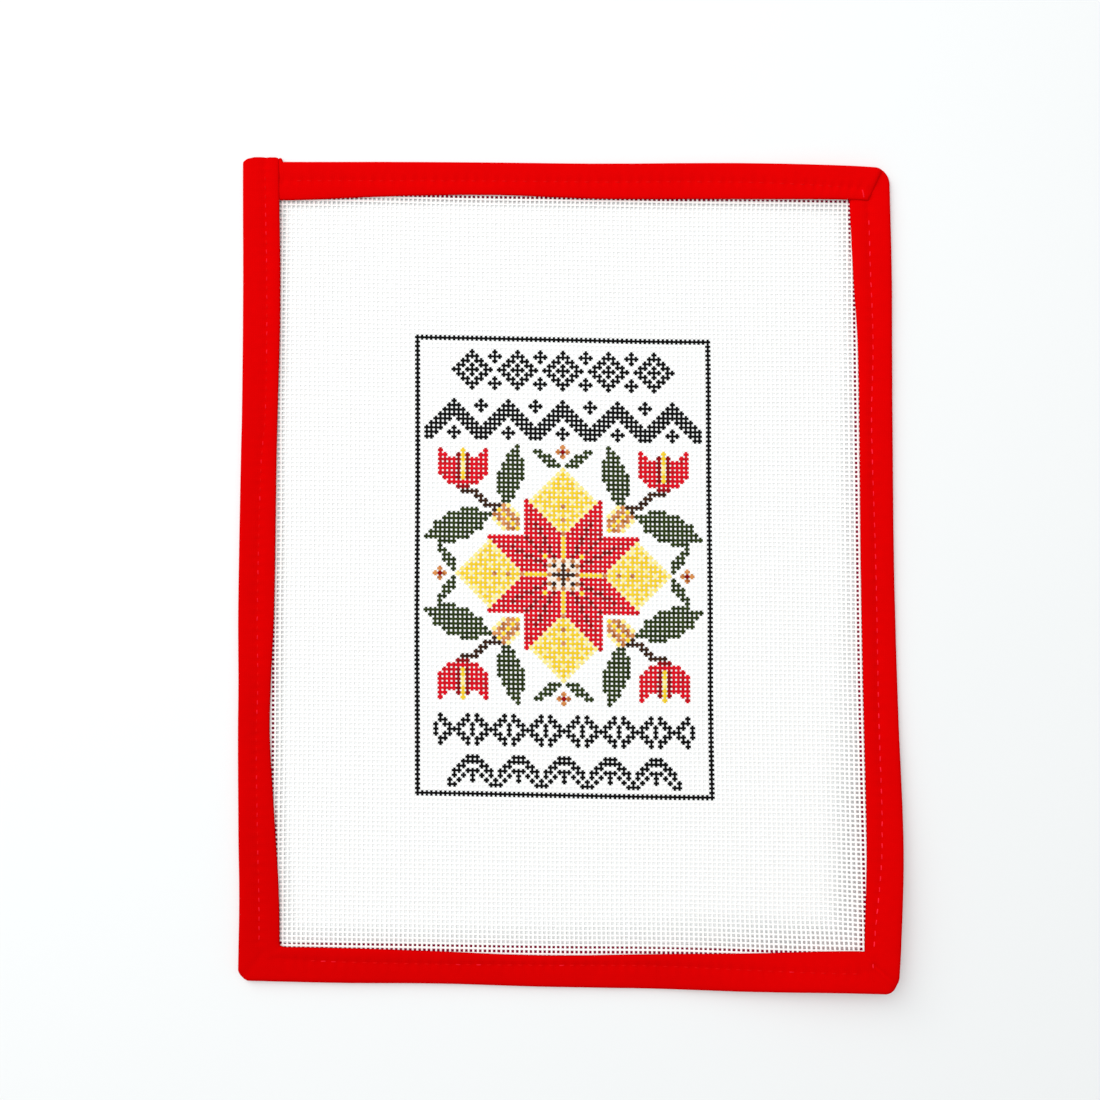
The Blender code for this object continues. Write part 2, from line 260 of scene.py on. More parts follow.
# ---------------------------------------------------------------- painted chart

CHART_COLUMNS = 65  # crossings across the chart, its border line included
CHART_ROWS = 101
CHART_MIDDLE = 32  # the column that it mirrors about
STAR_ROW = 52  # the row through the star's middle, from where across and up are counted
STAR_RAY = 8  # crossings along each edge of a ray
MIDDLE_REACH = 28  # rows from there to the bands
CUP_FOOT = (22, 19)  # the lowest crossing of a tulip's cup
CUP_WIDTHS = (1, 3, 4, 5, 5, 5, 5, 5, 5)  # half its width, row by row
SPRAY_LEAVES = (((16, 13), (30, 8), 3.2), ((13, 15), (10, 28), 2.6))  # root, tip, half width
BUD_OUT = 27  # the middle of a bud
BUD_LEAF = ((0.5, 23.5), (6, 27), 1.2)
SCALLOP = (92, 92, 93, 94, 95, 97)  # a scallop's upper edge, from its middle to its end
BARE = "bare"


def leaf(across, up, root, tip, half_width):
    """How deep inside a pointed leaf from root to tip: negative outside, 0 on its edge."""
    along = (tip[0] - root[0], tip[1] - root[1])
    length = math.hypot(*along)
    share = ((across - root[0]) * along[0] + (up - root[1]) * along[1]) / length ** 2
    aside = abs((across - root[0]) * along[1] - (up - root[1]) * along[0]) / length
    if not 0.0 <= share <= 1.0:
        return -1.0
    return half_width * math.sin(math.pi * share) ** 0.7 - aside


def star_paint(across, up):
    """An eight-rayed quilt star with a petal between each pair of rays, from its middle out."""
    far, near = max(across, up), min(across, up)
    if far <= 1:
        return "brown" if near == 0 else "gold"
    if far == 2:
        return "cream" if near == 1 else "brown"
    if far == 3:
        return "gold" if near in (0, 2) else "cream"
    if near <= STAR_RAY and far <= near + STAR_RAY:
        if near in (0, far):
            return "yellow" if far + near < 9 else "dark red"
        return "dark red" if near == (far + 1) // 2 and far < 12 else "red"
    reach = min(far - STAR_RAY - 1, 3 * STAR_RAY - 1 - far)
    if near <= reach:
        if near == 0 and far < 2 * STAR_RAY + 2:
            return "gold" if far % 3 == 0 else "yellow"
        return "pale yellow" if near == reach or (far + 2 * near) % 5 == 0 else "yellow"
    if near > STAR_RAY + 1 and far + near <= 4 * STAR_RAY - 4 and far - near < 4:
        return "yellow" if far == near else "pale yellow" if far - near > 2 else "gold"
    return BARE


def tulip_paint(aside, up):
    """A tulip's cup by the distance from its own middle line and the height over its stem."""
    if not 0 <= up < len(CUP_WIDTHS) or aside > CUP_WIDTHS[up]:
        return BARE
    if up >= 6 and 8 - up < aside < up - 3:  # between its tips
        return BARE
    if aside == 0 and up > 1:
        return "pale yellow" if up in (4, 5) else "yellow"
    return "dark red" if aside == 1 and up > 1 or up == 0 else "red"


def spray_paint(across, up):
    """A tulip with its stem and leaves, in each quarter of the chart's middle part."""
    paint = tulip_paint(abs(across - CUP_FOOT[0]), up - CUP_FOOT[1])
    if paint != BARE:
        return paint
    stem = 14.0 + 5.0 * smooth_step((across - 13.0) / 10.0)
    if 14 <= across <= CUP_FOOT[0] and abs(up - stem) < 0.9:
        return "brown"
    depth = max(leaf(across, up, *shape) for shape in SPRAY_LEAVES)
    return "green" if depth >= 0.0 else BARE


def bud_paint(aside, out):
    """A small bud with two leaves, beyond the tips of the upright and the level petals."""
    away = aside + abs(out - BUD_OUT)
    if away <= 1:
        return "dark red" if away == 0 else "gold"
    return "green" if leaf(aside, out, *BUD_LEAF) >= 0.0 else BARE


def nearest(across, period):
    """How far a column is from the nearest multiple of a period."""
    return min(across % period, -across % period)


def band_paint(across, row):
    """The black bands over and under the middle part."""
    inked = False
    if 3 <= row <= 11 and across <= 24:  # diamonds
        aside, off = nearest(across, 10), abs(row - 7)
        inked = aside + off in (0, 1, 3, 4) or across < 20 and 5 - aside + abs(off - 3) <= 1
    elif 14 <= row <= 22 and across <= 30:  # zigzag
        aside = nearest(across, 12)
        cross = aside + abs(row - 21) <= 1 or 6 - aside + abs(row - 15) <= 1
        inked = 0 <= row - 14 - aside <= 3 or across <= 25 and cross
    elif 82 <= row <= 90 and across <= 28:  # lattice
        aside, off = nearest(across, 8), abs(row - 86)
        inked = 0 <= aside - off <= 1 and aside < 4 or aside == 4 and off <= 1
    elif 92 <= row <= 98 and across <= 25:  # scallops
        aside = nearest(across, 10)
        inked = row - SCALLOP[aside] in (0, 1, 3) or aside == 0 and row in (95, 96, 97)
    return "ink" if inked else BARE


def paint_at(column, row):
    """The paint on a crossing of the canvas, counted from the chart's top left."""
    if not (0 <= column < CHART_COLUMNS and 0 <= row < CHART_ROWS):
        return BARE
    if column in (0, CHART_COLUMNS - 1) or row in (0, CHART_ROWS - 1):
        return "ink"
    across, up = abs(column - CHART_MIDDLE), abs(row - STAR_ROW)
    if up > MIDDLE_REACH:
        return band_paint(across, row)
    for paint in (star_paint(across, up), spray_paint(across, up),
                  bud_paint(across, up), bud_paint(up, across)):
        if paint != BARE:
            return paint
    return BARE


# ---------------------------------------------------------------- woven canvas

CHART_CENTRE = Vector((-1.38, 1.10))  # the middle of the chart, its row 50
WEFT_FALL = math.radians(0.88)  # the weft runs down to the right by this
WARP_LEAN = math.radians(0.22)  # the warp runs out to the right downwards by this
COLUMN_SPAN = range(-45, 112)  # more threads than the cut holds, trimmed to it
ROW_SPAN = range(-48, 150)
THREAD_SHIFT = 0.04  # a single thread lies up to this far off the even pitch
WANDER_AREA = 55.0  # the threads stray together over areas this wide
WEFT_NOISE = Vector((0, 0, 7.3))  # the weft strays by another layer of the noise
THREAD_WIDTHS = (0.94, 1.06)  # the narrowest and the widest, as shares of the usual width
THREAD_WAVER = 0.07  # how much the width wavers along a thread
WAVER_RATE = 0.6
THREAD_PROFILE = ((-0.62, 1), (0.62, 1), (1, -1), (-1, -1))  # across and up, in half sizes
THREAD_FACE = ((0, 0), (0, 1), (1, 1), (1, 0))
UNPAINTED_EDGE = 2  # the thread's lower face
PAINT_REACH = 0.6  # of the way to the next crossing, if that one is bare
PAINT_SPREAD = {  # dried paint makes a thread this much wider
    "ink": 1.17, "red": 1.34, "dark red": 1.3, "yellow": 1.18, "pale yellow": 1.14,
    "green": 1.2, "brown": 1.24, "gold": 1.24, "cream": 1.24, BARE: 1.0,
}
HIDDEN_DEPTH = 1.2  # a crossing this far under the front flap isn't seen
HIDDEN_STEP = 5  # every fifth hidden crossing bends its thread
HIDDEN_GAP = 0.02  # from a hidden thread to the middle of the weave
BOUND_MIDDLE = 0.75  # middle of the weave between the layers of tape
FLOAT = 0.02  # the stiff mesh doesn't quite touch the floor
SEED = 18


def raised(place):
    """How far the canvas still lies on the back flap: 1 beside it, 0 on the flat middle."""
    flat = 1.0
    for side in SIDES:
        along, depth = side.locate(place)
        past = depth - side.back(along) - BEHIND_MARGIN
        flat *= smooth_step(past / side.value("ease", along))
    return 1.0 - flat


class Crossing(NamedTuple):
    """Where a warp and a weft thread cross."""
    place: Vector  # the middle of the weave
    hidden: bool  # under the tape
    paint: str


def weave_crossings(canvas):
    """Every crossing inside the cut edge: {(column, row): Crossing}."""
    seeded = random.Random(SEED)
    warp_shift, weft_shift = [
        {line: seeded.uniform(-THREAD_SHIFT, THREAD_SHIFT) for line in span}
        for span in (COLUMN_SPAN, ROW_SPAN)]
    pitch, wander = canvas.pitch / MM, canvas.wander / MM
    right = Vector((math.cos(WEFT_FALL), -math.sin(WEFT_FALL))) * pitch
    down = Vector((math.sin(WARP_LEAN), -math.cos(WARP_LEAN))) * pitch
    floor_middle = (canvas.crimp + canvas.thread_thickness / 2) / MM + FLOAT
    crossings = {}
    for column in COLUMN_SPAN:
        for row in ROW_SPAN:
            place = CHART_CENTRE + right * (column - CHART_MIDDLE) + down * (row - CHART_ROWS // 2)
            slow = Vector((place.x / WANDER_AREA, place.y / WANDER_AREA, 0.0))
            place.x += wander * noise.noise(slow) + warp_shift[column]
            place.y += wander * noise.noise(slow + WEFT_NOISE) + weft_shift[row]
            cut = flap = math.inf
            for side in SIDES:
                along, depth = side.locate(place)
                cut = min(cut, depth - CANVAS_INSET)
                flap = min(flap, depth - side.flap(along) + HIDDEN_DEPTH)
            if cut < 0.0:
                continue
            level = floor_middle + (BOUND_MIDDLE - floor_middle) * raised(place)
            crossings[column, row] = Crossing(
                place=Vector((place.x, place.y, level + lift(place))),
                hidden=flap < 0.0, paint=paint_at(column, row))
    return crossings


def thread_course(crossings, over_first, crimp, hidden_drop):
    """One thread's points with the paint that follows each: bent at crossings and paint edges."""
    course = []
    last = len(crossings) - 1
    for index, here in enumerate(crossings):
        after = crossings[min(index + 1, last)]
        before = crossings[max(index - 1, 0)]
        if here.hidden:
            if index % HIDDEN_STEP == 0 or index == last or not (before.hidden and after.hidden):
                course.append((here.place + Vector((0, 0, hidden_drop)), BARE))
            continue
        height = crimp if (index + over_first) % 2 == 0 else -crimp
        course.append((here.place + Vector((0, 0, height)), here.paint))
        if not after.hidden and here.paint != after.paint:
            share = {here.paint: 1.0 - PAINT_REACH, after.paint: PAINT_REACH}.get(BARE, 0.5)
            course.append((here.place.lerp(after.place, share), after.paint))
    return course


def add_tube(mesh_parts, rings, face, way, slot_of, end_slot=0):
    """Joins rings of points into a closed tube in the vertex, face and material lists.

    face holds the corners of each face as (ring, step), and way is 1 or -1 for the caps' turn.
    """
    verts, faces, slots = mesh_parts
    first, size = len(verts), len(rings[0])
    for ring in rings:
        verts += ring
    for index in range(len(rings) - 1):
        for edge in range(size):
            faces.append(tuple(first + size * (index + ring) + (edge + step) % size
                               for ring, step in face))
            slots.append(slot_of(index, edge))
    last = first + size * (len(rings) - 1)
    faces.append(tuple(range(first, first + size))[::way])
    faces.append(tuple(range(last, last + size))[::-way])
    slots += [end_slot, end_slot]


def add_thread(mesh_parts, course, half_width, half_height, palette):
    """One flattened thread, with the paint on all its faces but the lower one."""
    points = [point for point, paint in course]
    rings = []
    for index, point in enumerate(points):
        ahead = points[min(index + 1, len(points) - 1)] - points[max(index - 1, 0)]
        aside = Vector((ahead.y, -ahead.x, 0.0)).normalized()
        wide = half_width * (1.0 + THREAD_WAVER * noise.noise(point * WAVER_RATE))
        wide *= max(PAINT_SPREAD[course[index][1]], PAINT_SPREAD[course[max(index - 1, 0)][1]])
        ring = [point + aside * wide * across for across, up in THREAD_PROFILE]
        for corner, (across, up) in zip(ring, THREAD_PROFILE):
            corner.z = max(corner.z + half_height * up, 0.0)
        rings.append(ring)
    paints = [palette.index(paint) for point, paint in course]
    add_tube(mesh_parts, rings, THREAD_FACE, -1,
             lambda index, edge: 0 if edge == UNPAINTED_EDGE else paints[index])


def add_threads(name, courses, canvas, palette, materials, seed):
    """One family of parallel threads as a piece."""
    seeded = random.Random(seed)
    mesh_parts = ([], [], [])
    for course in courses:
        half_width = canvas.thread_width / MM / 2 * seeded.uniform(*THREAD_WIDTHS)
        add_thread(mesh_parts, course, half_width, canvas.thread_thickness / MM / 2, palette)
    return add_piece(name, mesh_parts, materials, smooth=False)


# ---------------------------------------------------------------- folded tape

FRONT_TOP = 2.3  # the front flap's face over the floor
FOLD_ROUND = 1.15  # how far the outer fold's rounding reaches in
FOLD_SWELL = 0.18  # the fold's crown over the flap
FOLD_SWELL_LEAN = 0.6  # below 1 its top lies nearer the fold than the seam
SEAM_DIP = 0.28  # how deep the seam pulls the front flap in
SEAM_WIDTH = 1.3  # how wide that groove is
SEAM_PULL = 0.72  # how hard the stitches pull in on the whole
HOLE_PULL = 0.28  # and how much harder at a needle hole, or less between two
CORNER_PULL = 0.35  # the same in a corner, where no stitch shows
PUCKER = 0.05  # the cloth beside a needle hole is drawn in by this
PUCKER_WIDTH = 2.4
WAVES = ((0.10, 0.11), (0.03, 0.45))  # the front flap isn't even: height, and rate in each mm
INNER_CROWN = 0.16  # between the seam and the flap's inner edge
EDGE_PRESS = 0.1  # the inner edge is pressed on the canvas by this
BACK_RECESS = 0.12  # the seam pulls the back flap up by this
HEM_THICK = 1.15  # the inner edge, where the tape's own edge is turned in
HEM_ROLL = ((0.05, 0.22), (0.2, 0.07), (0.42, 0.0))  # its rounding: inside the edge, and down
WINDOW_RADIUS = 0.35  # inner corners of the front flap
BACK_WINDOW_RADIUS = 1.0  # inner corners of the back flap
LAP_END = 0.55  # the strip's end passes the top edge by this much
LAP_RISE = 0.7  # and lies this much above the strip's start
LAP_LIP = -0.15  # its inner edge stands up by this much more
LIP_REACH = 18.0  # from this far before the corner
LIP_FADE = 8.0  # rising over this far
LAP_FADE = 24.0  # down the left edge, until the strip lies level again
LAP_START = 2.5  # the strip's start is hidden this far in
END_RADIUS = 1.2  # the fold is rounded off this far before the cut end
END_ROUND = 0.9  # by this share of a full rounding
END_SAG = 0.5  # the cut end's corners fall back by this
SAG_FADE = 4.0  # and so does the tape this far before it, less and less
SAG_SPANS = (4.5, 0.8)  # how wide the outer corner and the inner one are
SAG_INNER = 0.7  # the inner one falls back by this share of the outer one
FRAY = 0.2  # the cut end's threads stick out by up to this
FRAY_FADE = 0.4
FRAY_RATE, FRAY_RATE_UP = 3.1, 2.0  # in each mm, across the end and up it
START_REACH = 9.0  # the strip's start is tucked under its end for this far
START_FADE = 3.0
START_INSET = 0.6  # and its fold lies this far in
NUB = 1.25  # the start's fold is pinched out this far beside the end
NUB_ALONG = 11.45  # the middle of that pinch
NUB_TOP = 0.35  # half the length of its top
NUB_FLANK = 0.6
NUB_SPAN = 1.6  # cross-sections are closer this far from its middle
NUB_STEPS = 12
TURN_RISE = 0.95  # the top run folded over the right run
TURN_PRESS = 0.35  # its inner edge lies this much lower
TURN_FADE = 30.0  # along the top edge, until the run lies level again
TURN_END = 199.4  # where the fold leaves the top edge
TURN_SLANT = 0.405  # how much nearer it is for each millimetre of depth
TURN_SLANT_START = 172.0  # where the run's threads start to lean to the fold
TURN_ROLL = 1.2  # the fold's own rounding
TURN_DEGREES = (35, 60, 80, 90)
UNDER_RADIUS = 5.5  # the right run's corner, beside the fold
UNDER_START = 0.8  # the right run starts this far down, under the top run
UNDER_REACH = 9.0  # and is tucked in for this far
UNDER_FADE = 5.0
UNDER_PRESS = 0.3  # its front flap pressed this much flatter
UNDER_GAP = 0.05  # and the gap over the layer below it
TAPE_STEP = 0.8  # along the tape

# the cross-section's corners, in order round it
HEM_MIDDLE = 0.5  # the inner edge's own corner, down the hem
FLAP_CUTS = (0.74, 0.58, 0.42, 0.28, 0.16, 0.07)  # from the hem to the seam
FOLD_CUTS = (0.92, 0.82, 0.68, 0.5, 0.32, 0.15, 0.0)  # from the seam to the fold's rounding
FOLD_DEGREES = (62, 38, 14, -14, -38, -62)  # round the outside of the fold
BACK_STARTS = (0.12, 0.2)  # the back flap's first cut, outside and inside
BESIDE_SEAM = (0.8, 1.25)  # its cuts beside the seam, as shares of the seam's depth
BACK_LAST = 0.8  # its last cut before the edge
INSIDE_DEGREES = (-50, 0, 50)  # round the inside of the fold
INSIDE_ROUND = 0.4  # whose rounding is smaller by this share of the cloth
INSIDE_CUTS = (-3, -5, 9, 7, 5)  # the front flap's inside, under these of its cuts
HEM_CUTS = ((3, 0.75), (1, 1.0), (0, 0.85))  # the hem's underside, and how much of it there
UNDER_CANVAS = range(29, 35)  # the edges on the back flap's upper face, which get the painted shade: a darker red for the shadow under the mesh
TAPE_FACE = ((0, 1), (0, 0), (1, 0), (1, 1))


class Crease(NamedTuple):
    """A soft trough pressed in the front flap."""
    start: tuple
    end: tuple
    half_width: float
    depth: float


CREASES = (
    Crease((92.2, -120.0), (98.6, -125.2), 1.0, 0.55),  # lower right corner's mitre
    Crease((96.6, -126.2), (98.9, -122.8), 0.35, 0.18),
    Crease((89.6, -116.6), (92.0, -119.8), 0.7, 0.12),
    Crease((-98.6, -122.0), (-97.6, -124.4), 0.35, 0.35),  # lower left corner's pleat
    Crease((-92.6, -117.0), (-96.6, -121.6), 1.2, 0.16),
    Crease((93.4, 113.2), (95.6, 106.0), 1.0, 0.12),  # under the upper right fold
)


def trough(place):
    """How deep the creases press the front flap in at a place."""
    deep = 0.0
    for crease in CREASES:
        start, end = Vector(crease.start), Vector(crease.end)
        along = end - start
        share = min(max((place - start).dot(along) / along.length_squared, 0.0), 1.0)
        away = (place - start - along * share).length / crease.half_width
        deep += crease.depth * math.exp(-away * away)
    return deep


class Station(NamedTuple):
    """A cross-section of the tape, seen from above."""
    outer: Vector  # on the outer fold
    front: Vector  # inner edge of the front flap
    back: Vector  # inner edge of the back flap
    flap: float  # width of the front flap, square to the side
    back_flap: float
    seam: float  # depth of the stitches
    pull: float  # how hard they pull in here: 1 at a needle hole, less between holes
    rise: float = 0.0  # of the outer fold over another run
    lip: float = 0.0  # how much more the inner edge stands up than the fold
    tuck: float = 0.0  # 1 where this run is under another one
    drop: float = 0.0  # how far a rounded folded end comes down
    sag: float = 0.0  # how far a cut end falls back at its two corners
    fray: float = 0.0  # 1 where threads of a cut end stick out


def seam_pull(side, along):
    """How hard the stitches pull in at a place: 1 at a needle hole."""
    return SEAM_PULL + HOLE_PULL * math.cos(2 * math.pi * along / SEAMS[side].pitch)


def plain_station(side, along, slant=0.0, inset=0.0, **extra):
    """A cross-section square to its side, or leaning back by slant for each mm of depth."""
    flap, back_flap = side.flap(along), side.back(along)
    front_along = along - slant * flap
    back_along = along - slant * back_flap
    return Station(
        outer=side.point(along, inset),
        front=side.point(front_along, side.flap(front_along)),
        back=side.point(back_along, side.back(back_along)),
        flap=flap,
        back_flap=back_flap,
        seam=side.value("seam", along),
        pull=seam_pull(side, along),
        **extra,
    )


def window_reaches(before, after):
    """How far along both sides the rounding of the corner between their front flaps reaches."""
    window = crossing_of(before, after, before.flap(before.length), after.flap(0.0))
    return (before.locate(window)[0] - WINDOW_RADIUS, after.locate(window)[0] + WINDOW_RADIUS)


def blend(pair, share):
    """From the first of a pair to the second."""
    return pair[0] * (1.0 - share) + pair[1] * share


def fan_stations(before, after):
    """The cross-sections of a corner's square: their inner ends share a small rounding."""
    flaps = (before.flap(before.length), after.flap(0.0))
    backs = (before.back(before.length), after.back(0.0))
    seams = (before.value("seam", before.length), after.value("seam", 0.0))
    window = crossing_of(before, after, *flaps)
    back_window = crossing_of(before, after, *backs)
    reaches = window_reaches(before, after)
    straight = before.length - before.last_radius
    steps = round((straight - reaches[0]) / TAPE_STEP)
    outer = [before.point(along, 0.0) for along in spaced(reaches[0], straight, steps)]
    arc_steps = max(round(after.first_radius * math.pi / 2 / TAPE_STEP), 3)
    outer += [outer_arc_point(before, after, turn) for turn in spaced(0.0, 1.0, arc_steps)[1:-1]]
    steps = round((reaches[1] - after.first_radius) / TAPE_STEP)
    outer += [after.point(along, 0.0) for along in spaced(after.first_radius, reaches[1], steps)]
    stations = []
    for index, place in enumerate(outer):
        turn = (index + 0.5) / len(outer)
        stations.append(Station(
            outer=place,
            front=arc_point(before, after, window, WINDOW_RADIUS, turn),
            back=arc_point(before, after, back_window, BACK_WINDOW_RADIUS, turn),
            flap=blend(flaps, turn),
            back_flap=blend(backs, turn),
            seam=blend(seams, turn),
            pull=CORNER_PULL,
        ))
    return stations


def run_stations(side, first, last, station):
    """station(side, along) at even steps."""
    steps = round((last - first) / TAPE_STEP)
    return [station(side, along) for along in spaced(first, last, steps)]


def turn_rise(along):
    """How far the top run stands over the right run, from its fade to the corner."""
    left = TOP_SIDE.length - RIGHT_SIDE.flap(0.0) - along
    return TURN_RISE * (1.0 - smooth_step(left / TURN_FADE))


def lap_rise(along):
    """How far the strip's end stands over its start, up the left side."""
    short = LEFT_SIDE.length - along - TOP_SIDE.flap(0.0)
    return LAP_RISE * (1.0 - smooth_step(short / LAP_FADE))


def top_start(side, along):
    """The strip's start, hidden under its end, and the top edge up to the fold at the right."""
    pinch = NUB * (1.0 - smooth_step((abs(along - NUB_ALONG) - NUB_TOP) / NUB_FLANK))
    under = 1.0 - smooth_step((along - START_REACH) / START_FADE)
    inset = rounding(side.last_radius, side.length - along) + START_INSET * under - pinch
    lean = smooth_step((along - TURN_SLANT_START) / (TURN_END - TURN_SLANT_START))
    rise = turn_rise(along)
    return plain_station(side, along, slant=TURN_SLANT * lean, inset=inset, rise=rise,
                         lip=-TURN_PRESS * rise / TURN_RISE, tuck=under)


def top_run():
    """The run along the top edge, with its folded end rolled down at the right."""
    near, past = NUB_ALONG - NUB_SPAN, NUB_ALONG + NUB_SPAN
    stations = run_stations(TOP_SIDE, LAP_START, near, top_start)
    stations += [top_start(TOP_SIDE, along) for along in spaced(near, past, NUB_STEPS)[1:]]
    stations += run_stations(TOP_SIDE, past + TAPE_STEP, TURN_END - TURN_ROLL, top_start)
    for degrees in TURN_DEGREES:
        angle = math.radians(degrees)
        end = top_start(TOP_SIDE, TURN_END - TURN_ROLL * (1.0 - math.sin(angle)))
        stations.append(end._replace(drop=TURN_RISE * (1.0 - math.cos(angle))))
    return stations


def right_start(side, along):
    """The long run's start, tucked under the top run and cut to the rounded corner."""
    tuck = 1.0 - smooth_step((along - UNDER_REACH) / UNDER_FADE)
    return plain_station(side, along, inset=rounding(UNDER_RADIUS, along), tuck=tuck)


def left_end(side, along):
    """The left side, up to the strip's cut end, which lies over its start."""
    left = side.length + LAP_END - along
    lip = LAP_LIP * smooth_step((along - side.length + LIP_REACH) / LIP_FADE)
    return plain_station(side, along, inset=END_ROUND * rounding(END_RADIUS, left),
                         rise=lap_rise(along), lip=lip,
                         sag=END_SAG * (1.0 - smooth_step(left / SAG_FADE)),
                         fray=1.0 - smooth_step(left / FRAY_FADE))


STATION_OF = dict(zip(SIDES, (top_start, right_start, plain_station, left_end)))


def long_run():
    """The strip from the upper right corner round to its cut end at the upper left."""
    stations, first = [], UNDER_START
    for side, after in ((RIGHT_SIDE, BOTTOM_SIDE), (BOTTOM_SIDE, LEFT_SIDE)):
        last, first_after = window_reaches(side, after)
        stations += run_stations(side, first, last - TAPE_STEP, STATION_OF[side])
        stations += fan_stations(side, after)
        first = first_after + TAPE_STEP
    return stations + run_stations(LEFT_SIDE, first, LEFT_SIDE.length + LAP_END, left_end)


def front_height(station, depth, place):
    """Height of the front flap's face at a depth from the outer fold."""
    seam = station.seam
    share = depth / station.flap
    if depth < seam:
        crown = FOLD_SWELL * math.sin(math.pi * min(depth / seam, 1.0) ** FOLD_SWELL_LEAN)
    else:
        past = (depth - seam) / (station.flap - seam)
        crown = INNER_CROWN * math.sin(math.pi * past) - EDGE_PRESS * past
    away = (depth - seam) / SEAM_WIDTH
    groove = SEAM_DIP * station.pull * math.exp(-away * away)
    pucker = (PUCKER * (station.pull - SEAM_PULL) / HOLE_PULL
              * math.exp(-((depth - seam) / PUCKER_WIDTH) ** 2))
    slow = Vector((place.x, place.y, 0.0))
    wave = sum(height * noise.noise(slow * rate) for height, rate in WAVES)
    over = station.rise + station.lip * share * share - UNDER_PRESS * station.tuck
    return FRONT_TOP + crown - groove - pucker + wave - trough(place) + over - station.drop


def section(station, cloth):
    """The tape's cross-section as one closed loop: round the outside, back round the inside."""
    seam = station.seam
    depths = [station.flap - inside for inside, fall in HEM_ROLL]
    depths += [seam + (station.flap - seam) * share for share in FLAP_CUTS]
    depths += [seam]
    depths += [FOLD_ROUND + (seam - FOLD_ROUND) * share for share in FOLD_CUTS]

    def plan(depth, back=False):
        end, width = (station.back, station.back_flap) if back else (station.front, station.flap)
        bow = (1.0 - smooth_step(depth / SAG_SPANS[0])
               + SAG_INNER * smooth_step((depth - station.flap) / SAG_SPANS[1] + 1.0))
        return station.outer.lerp(end, depth / width) - LEFT_SIDE.ahead * station.sag * bow

    def placed(place, height):
        if station.fray:
            rough = Vector((place.x * FRAY_RATE, place.y * FRAY_RATE, height * FRAY_RATE_UP))
            place = place + LEFT_SIDE.ahead * FRAY * station.fray * noise.noise(rough)
        return Vector((place.x, place.y, max(height, 0.0) + lift(place)))

    tops = [front_height(station, depth, plan(depth)) for depth in depths]
    floor = (cloth + UNDER_GAP) * station.tuck
    hem = HEM_THICK - station.drop
    loop = [placed(plan(station.flap), tops[0] - HEM_MIDDLE * hem)]
    rolls = [fall for inside, fall in HEM_ROLL] + [0.0] * (len(depths) - len(HEM_ROLL))
    for depth, top, fall in zip(depths, tops, rolls):
        loop.append(placed(plan(depth), top - fall))
    middle, half = (tops[-1] + floor) / 2, (tops[-1] - floor) / 2
    for degrees in FOLD_DEGREES:
        angle = math.radians(degrees)
        depth = FOLD_ROUND * (1.0 - math.cos(angle))
        loop.append(placed(plan(depth), middle + half * math.sin(angle)))
    # where the seam is deeper than 0.64 of the back flap, the cut past it lies beyond BACK_LAST,
    # and the flap laps over itself there
    back_seam = seam / station.back_flap
    outside = (BACK_STARTS[0], BESIDE_SEAM[0] * back_seam, back_seam, BESIDE_SEAM[1] * back_seam,
               BACK_LAST, 1.0)
    inside = outside[:0:-1] + (BACK_STARTS[1],)
    for shares, face in ((outside, floor), (inside, floor + cloth)):
        for share in shares:
            recess = BACK_RECESS * station.pull if share == back_seam else 0.0
            loop.append(placed(plan(share * station.back_flap, True), face + recess))
    for degrees in INSIDE_DEGREES:
        angle = math.radians(degrees)
        depth = cloth + (FOLD_ROUND - cloth * INSIDE_ROUND) * (1.0 - math.cos(angle))
        loop.append(placed(plan(depth), middle + (half - cloth) * math.sin(angle)))
    for index in INSIDE_CUTS:
        loop.append(placed(plan(depths[index]), tops[index] - cloth))
    for index, share in HEM_CUTS:
        loop.append(placed(plan(depths[index]), tops[index] - cloth - (hem - cloth) * share))
    return loop


def add_strip(mesh_parts, stations, cloth):
    """Sweeps the cross-section along a run; the back flap's upper face gets painted shade, a
    darker red for the shadow it lies in under the mesh.
    """
    add_tube(mesh_parts, [section(station, cloth) for station in stations], TAPE_FACE, 1,
             lambda index, edge: int(edge in UNDER_CANVAS))


# ---------------------------------------------------------------- machine stitches

class Seam(NamedTuple):
    """The stitches along a side, which stop short of its corners."""
    pitch: float
    first: float
    last: float
    worn: float  # share of the stitches with more painted highlight than the rest
    slot: int  # and their thread: 1 has a faint painted highlight, 2 a stronger one


SEAMS = {
    TOP_SIDE: Seam(3.2, 13.5, 189.0, 0.0, 0),
    RIGHT_SIDE: Seam(3.25, 16.0, 250.0, 1.0, 2),
    BOTTOM_SIDE: Seam(3.15, 10.5, 182.0, 0.12, 1),
    LEFT_SIDE: Seam(2.85, 7.0, 248.0, 0.45, 1),
}
NEEDLE_HOLES = (0.22, 0.78)  # where in its pitch a stitch starts and ends
STITCH_SLANT = 0.09  # it leans over by up to this
STITCH_SIZES = (0.88, 1.12)  # the thinnest and the thickest, as shares of the thread's radius
BACK_SIZE = 0.9  # the underside's stitches are pulled thinner
BACK_BOW = -0.2  # and bow into the recess instead of out
BACK_DEPTH = 0.9  # at this share of its height
SLANT_STITCH = ((195.9, 7.6), (197.6, 10.3))  # the lone stitch that holds the fold: along, depth
SLANT_RISE = Vector((0, 0, 0.08))
SLANT_SIZE = 1.1
STITCH_SIDES = 6
STITCH_RINGS = (  # share of its length, share of its radius, and bow outwards in radii
    (0.0, 0.45, -0.75), (0.16, 0.9, -0.1), (0.5, 1.0, 0.12), (0.84, 0.9, -0.1), (1.0, 0.45, -0.75),
)
STITCH_FLAT = 0.8  # its height as a share of its width
STITCH_FACE = ((0, 0), (1, 0), (1, 1), (0, 1))


